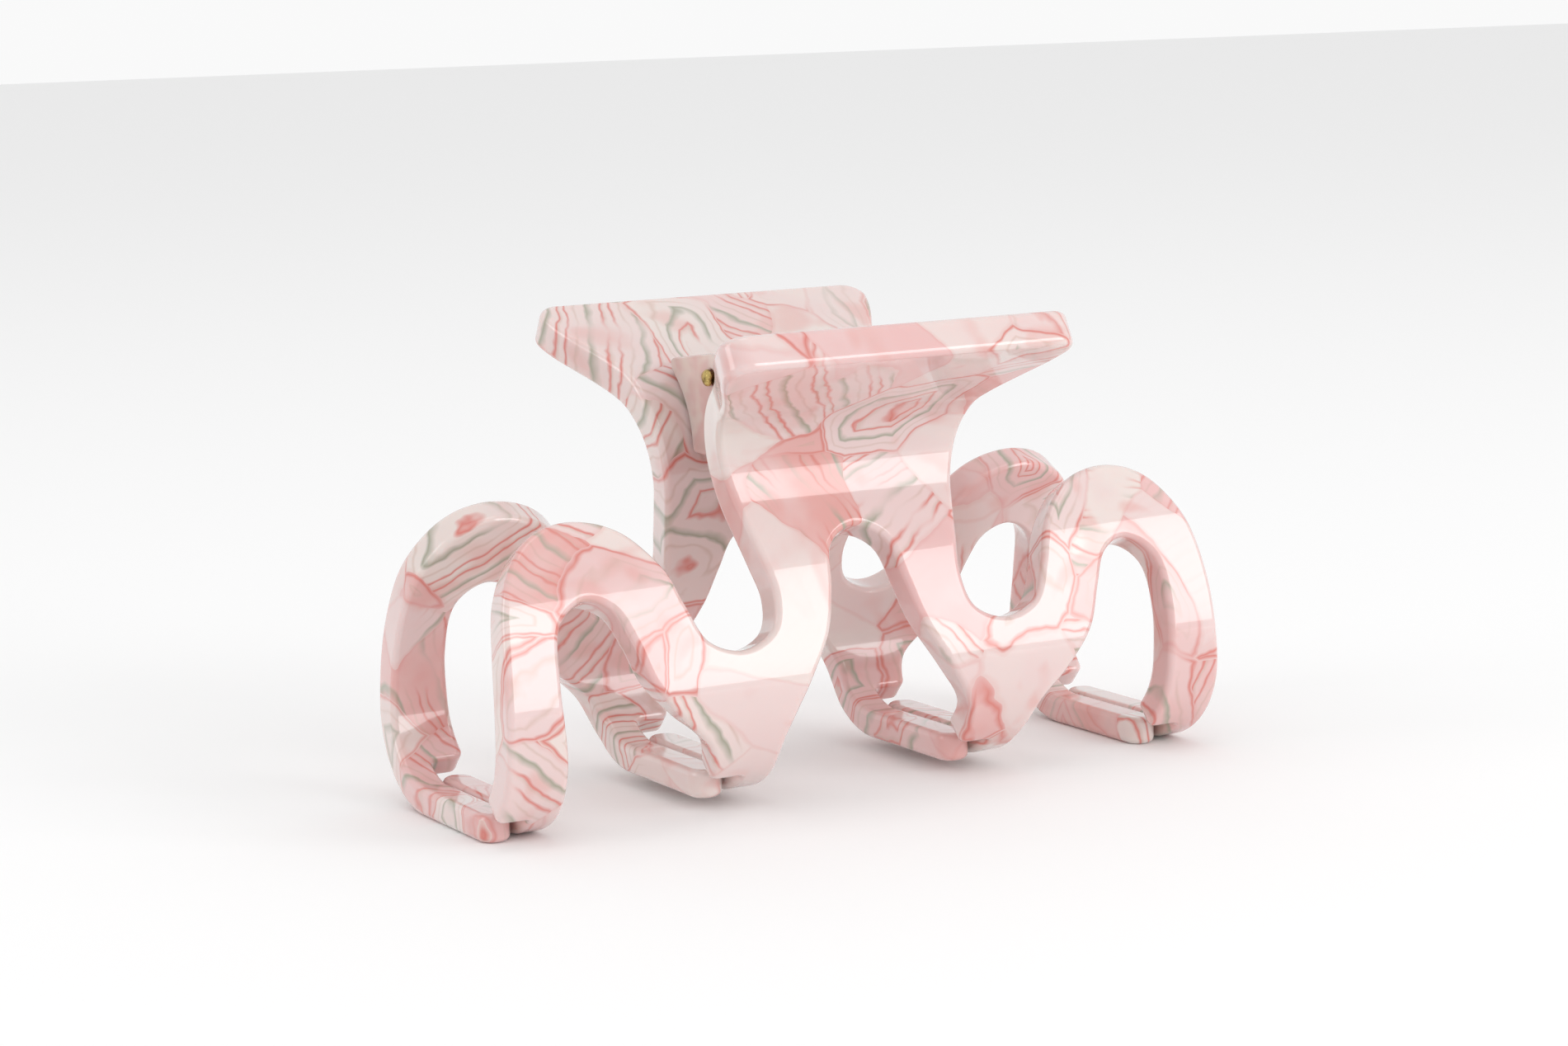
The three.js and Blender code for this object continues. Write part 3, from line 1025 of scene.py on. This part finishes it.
@dataclass
class HingePin:
    """The pin: a turned rod whose two ends are peened over into low domes."""

    body: str
    node: str
    material: bpy.types.Material
    shank: float = 0.75
    head: float = 0.6
    brim: float = 0.15
    around: int = 48

    def build(self) -> bpy.types.Object:
        """Carries the pin's profile round its axis.

        Returns:
            The piece.
        """
        low, high = (np.array(corner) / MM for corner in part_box(self.node))
        half, head_radius = high[0], (high[2] - low[2]) / 2
        height = (high[2] + low[2]) / 2
        shoulder = half - self.head
        a = np.linspace(0, np.pi / 2, 9)
        crown = shoulder + self.brim + (self.head - self.brim) * np.cos(a)
        dome = np.stack([head_radius * np.sin(a), crown], 1)
        waist = np.array([(head_radius, shoulder), (self.shank, shoulder)])
        right = np.vstack([dome[1:], waist])
        profile = np.vstack([right, right[::-1] * [1, -1]])
        turn = np.linspace(0, 2 * np.pi, self.around, endpoint=False)
        dents = 1 + 0.05 * np.sin(3 * turn + 0.6) + 0.03 * np.sin(5 * turn)
        peened = np.where(np.abs(profile[:, 1]) >= shoulder, 1.0, 0.0)
        swell = peened[:, None] * (dents - dents.max())[None] + 1
        radius = profile[:, :1] * swell
        ring = np.stack([
            np.broadcast_to(profile[:, 1:], radius.shape),
            radius * np.cos(turn),
            height + radius * np.sin(turn),
        ], -1).reshape(-1, 3)
        tips = np.array([(half, 0, height), (-half, 0, height)])
        rows = len(profile)
        row, i = np.meshgrid(np.arange(rows - 1), np.arange(self.around), indexing="ij")
        j = (i + 1) % self.around
        quads = np.stack([row * self.around + i, row * self.around + j, (row + 1) * self.around + j,
                          (row + 1) * self.around + i], -1).reshape(-1, 4)
        n = rows * self.around
        i = np.arange(self.around)
        j = (i + 1) % self.around
        caps = np.vstack([
            np.stack([np.full_like(i, n), j, i], 1),
            np.stack([np.full_like(i, n + 1), n - self.around + i, n - self.around + j], 1),
        ])
        piece = put_mesh("hinge_pin_peened", np.vstack([ring, tips]), quads.tolist() + caps.tolist())
        piece.data.materials.append(self.material)
        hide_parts(self.node)
        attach(piece, self.body)
        LOG.info("hinge pin: %d points", n + 2)
        return piece


@dataclass
class TorsionSpring:
    """One wire: a leg that rests on the front tab, a coil round the pin, and a leg on the rear tab."""

    rear: str
    front: str
    node: str
    form: SheetForm
    pin_height: float
    material: bpy.types.Material
    wire: float = 0.4
    coil: float = 1.8
    turns: int = 6
    pitch: float = 0.95
    heel: float = 13.0
    tip: float = 10.8
    gap: float = 0.3
    sides: int = 14
    step: float = 0.22

    def path(self) -> Array:
        """The wire's centre line. The coil is x = h (2t - 1), angle = a - sweep t; each leg leaves it along
        the tangent that reaches the heel, where the wire turns to follow the tab."""
        off = -(self.form.sheet / 2 + self.gap + self.wire)
        tip, heel = self.form.place(np.array([(0.0, self.tip, off), (0.0, self.heel, off)]))
        rise = heel[2] - self.pin_height
        angle = math.atan2(rise, heel[1]) - math.acos(self.coil / math.hypot(heel[1], rise))
        half = self.turns * self.pitch / 2
        t = np.linspace(0, 1, self.turns * 32 + 1)
        turn = angle - (2 * math.pi * self.turns + 2 * angle - math.pi) * t
        coil = np.stack([
            half * (2 * t - 1),
            self.coil * np.cos(turn),
            self.pin_height + self.coil * np.sin(turn),
        ], 1)
        tip[0] = heel[0] = -half
        share = np.linspace(0, 1, 12)[:, None]
        leg = np.vstack([tip + (heel - tip) * share, (heel + (coil[0] - heel) * share)[1:-1]])
        soft = leg.copy()
        soft[1:-1] = (leg[:-2] + 2 * leg[1:-1] + leg[2:]) / 4
        whole = np.vstack([soft, coil, soft[::-1] * [-1, -1, 1]])
        return resampled(whole, self.step, closed=False)

    def build(self) -> bpy.types.Object:
        """Carries a circle along the wire; its ends are closed by low cones.

        Returns:
            The piece.
        """
        path = self.path()
        tangent = np.gradient(path, axis=0)
        tangent /= np.linalg.norm(tangent, axis=1, keepdims=True)
        normal = np.cross(tangent, [1.0, 0.0, 0.0])
        normal /= np.linalg.norm(normal, axis=1, keepdims=True)
        side = np.cross(tangent, normal)
        n, m = len(path), self.sides
        a = np.linspace(0, 2 * np.pi, m, endpoint=False)
        ends = np.minimum(np.arange(n), np.arange(n)[::-1])
        radius = self.wire * np.where(ends == 0, 0.8, 1.0)
        ring = path[:, None] + radius[:, None, None] * (
            np.cos(a)[None, :, None] * normal[:, None] + np.sin(a)[None, :, None] * side[:, None]
        )
        row, i = np.meshgrid(np.arange(n - 1), np.arange(m), indexing="ij")
        j = (i + 1) % m
        quads = np.stack([row * m + i, row * m + j, (row + 1) * m + j, (row + 1) * m + i], -1).reshape(-1, 4)
        i = np.arange(m)
        j = (i + 1) % m
        caps = np.vstack([
            np.stack([np.full_like(i, n * m), j, i], 1),
            np.stack([np.full_like(i, n * m + 1), (n - 1) * m + i, (n - 1) * m + j], 1),
        ])
        points = np.vstack([ring.reshape(-1, 3), path[[0, -1]]])
        piece = put_mesh("torsion_spring_wire", points, quads.tolist() + caps.tolist())
        along = np.repeat(np.arange(n) * self.step, m)
        place = np.column_stack([along * 0.15, np.tile(np.cos(a), n) * 4, np.tile(np.sin(a), n) * 4])
        put_attribute(piece, "wire_place", np.vstack([place, place[[0, -1]]]))
        piece.data.materials.append(self.material)
        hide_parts(self.node)
        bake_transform(piece)
        LOG.info("torsion spring: %d points", len(points))
        return piece


# ---------------------------------------------------------------- stage


@dataclass(frozen=True)
class Card:
    """A soft light: a rectangle that faces the clip."""

    name: str
    azimuth: float
    elevation: float
    distance: float
    width: float
    height: float
    radiance: float
    colour: Colour = (1.0, 1.0, 1.0)

    def build(self, aim: Vector) -> None:
        """Hangs the light, its power being radiance times area times pi.

        Args:
            aim: the point it faces.
        """
        data = bpy.data.lights.new(self.name, "AREA")
        data.shape = "RECTANGLE"
        data.size, data.size_y = self.width, self.height
        data.energy = self.radiance * self.width * self.height * math.pi
        data.color = self.colour
        a, e = math.radians(self.azimuth), math.radians(self.elevation)
        away = Vector((math.sin(a) * math.cos(e), -math.cos(a) * math.cos(e), math.sin(e)))
        light = bpy.data.objects.new(self.name, data)
        light.location = aim + away * self.distance
        light.rotation_euler = away.to_track_quat("Z", "Y").to_euler()
        bpy.context.scene.collection.objects.link(light)


@dataclass
class Studio:
    """Plain floor, soft lights and the camera."""

    azimuth: float = -29.2
    elevation: float = 8.66
    roll: float = -1.52
    lens: float = 82.9
    distance: float = 0.3806
    aim: tuple[float, float, float] = (0.0, 0.0, 0.025)
    off_centre: tuple[float, float] = (0.00196, -0.00185)
    backdrop: float = 0.95
    fill: float = 0.86
    floor_half: float = 3.0

    def build_camera(self) -> None:
        """Sets the camera so that the aim point lies off_centre metres right and up of the middle."""
        a, e = math.radians(self.azimuth), math.radians(self.elevation)
        back = Vector((math.sin(a) * math.cos(e), -math.cos(a) * math.cos(e), math.sin(e)))
        turn = back.to_track_quat("Z", "Y").to_matrix() @ Matrix.Rotation(math.radians(self.roll), 3, "Z")
        right, up = turn.col[0], turn.col[1]
        data = bpy.data.cameras.new("view")
        data.lens = self.lens
        data.clip_start = 0.01
        camera = bpy.data.objects.new("view", data)
        across, upwards = self.off_centre
        place = Vector(self.aim) + back * self.distance - right * across - up * upwards
        camera.matrix_world = Matrix.Translation(place) @ turn.to_4x4()
        bpy.context.scene.collection.objects.link(camera)
        bpy.context.scene.camera = camera

    def build_floor(self) -> None:
        """A wide pale floor just under the fingers."""
        half, level = self.floor_half, CAD_BOX[0].z
        mesh = bpy.data.meshes.new("floor")
        corners = [(-half, -half, level), (half, -half, level), (half, half, level), (-half, half, level)]
        mesh.from_pydata(corners, [], [(0, 1, 2, 3)])
        floor = bpy.data.objects.new("floor", mesh)
        bpy.context.scene.collection.objects.link(floor)
        tree = Tree("floor_paint")
        tree.shade(Base_Color=(0.95, 0.95, 0.95, 1.0), Roughness=0.9)
        mesh.materials.append(tree.material)

    def build_world(self) -> None:
        """An even white surround, brighter where the camera sees it directly."""
        world = bpy.data.worlds.new("surround")
        world.use_nodes = True
        nodes, links = world.node_tree.nodes, world.node_tree.links
        nodes.clear()
        output = nodes.new("ShaderNodeOutputWorld")
        mix = nodes.new("ShaderNodeMixShader")
        seen = nodes.new("ShaderNodeLightPath")
        backgrounds = [nodes.new("ShaderNodeBackground") for _ in range(2)]
        for node, strength in zip(backgrounds, (self.fill, self.backdrop)):
            node.inputs["Color"].default_value = (1.0, 1.0, 1.0, 1.0)
            node.inputs["Strength"].default_value = strength
        links.new(seen.outputs["Is Camera Ray"], mix.inputs["Fac"])
        links.new(backgrounds[0].outputs[0], mix.inputs[1])
        links.new(backgrounds[1].outputs[0], mix.inputs[2])
        links.new(mix.outputs[0], output.inputs["Surface"])
        bpy.context.scene.world = world

    def build(self) -> None:
        """Builds the whole stage."""
        self.build_camera()
        self.build_floor()
        self.build_world()
        aim = Vector(self.aim)
        for card in (
            Card("front_card", 31.0, 17.5, 1.0, 0.5, 0.6, 3.4),
            Card("top_card", 0.0, 80.0, 0.9, 0.4, 0.4, 1.0),
            Card("left_card", -95.0, 25.0, 0.9, 0.3, 0.5, 2.0),
        ):
            card.build(aim)
        scene = bpy.context.scene
        scene.view_settings.view_transform = "Standard"
        LOG.info("stage built")


# ---------------------------------------------------------------- the whole clip


def main() -> None:
    """Builds the stage and every piece."""
    logging.basicConfig(level=logging.INFO, format="%(name)s: %(message)s")
    Studio().build()
    form = SheetForm()
    pattern = JawPattern(form, leg_outer=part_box("front_jaw")[1].x / MM)
    pin_height = frame["joints"][0]["pos_m"][2] / MM
    marbled, clear = MarbledAcetate().build(), ClearAcetate().build()
    jaws = (
        Jaw("front_jaw_polished", "front", "front_jaw", Turn.AS_DRAWN, pattern, marbled, (0.0, 0.0, 0.0)),
        Jaw("rear_jaw_polished", "rear", "rear_jaw", Turn.HALF_TURN, pattern, marbled, (140.0, 60.0, 20.0)),
    )
    ears = tuple(
        Ear(f"{body}_ear_{place}_polished", body, f"{body}_ear_{place}", turn, form, pin_height, clear)
        for body, turn in (("front", Turn.AS_DRAWN), ("rear", Turn.HALF_TURN))
        for place in ("outer", "inner")
    )
    pin = HingePin("rear", "hinge_pin", Brass().build())
    spring = TorsionSpring("rear", "front", "torsion_spring", form, pin_height, SpringWire().build())
    for piece in (*jaws, *ears, pin, spring):
        piece.build()


if __name__ == "__main__":
    main()
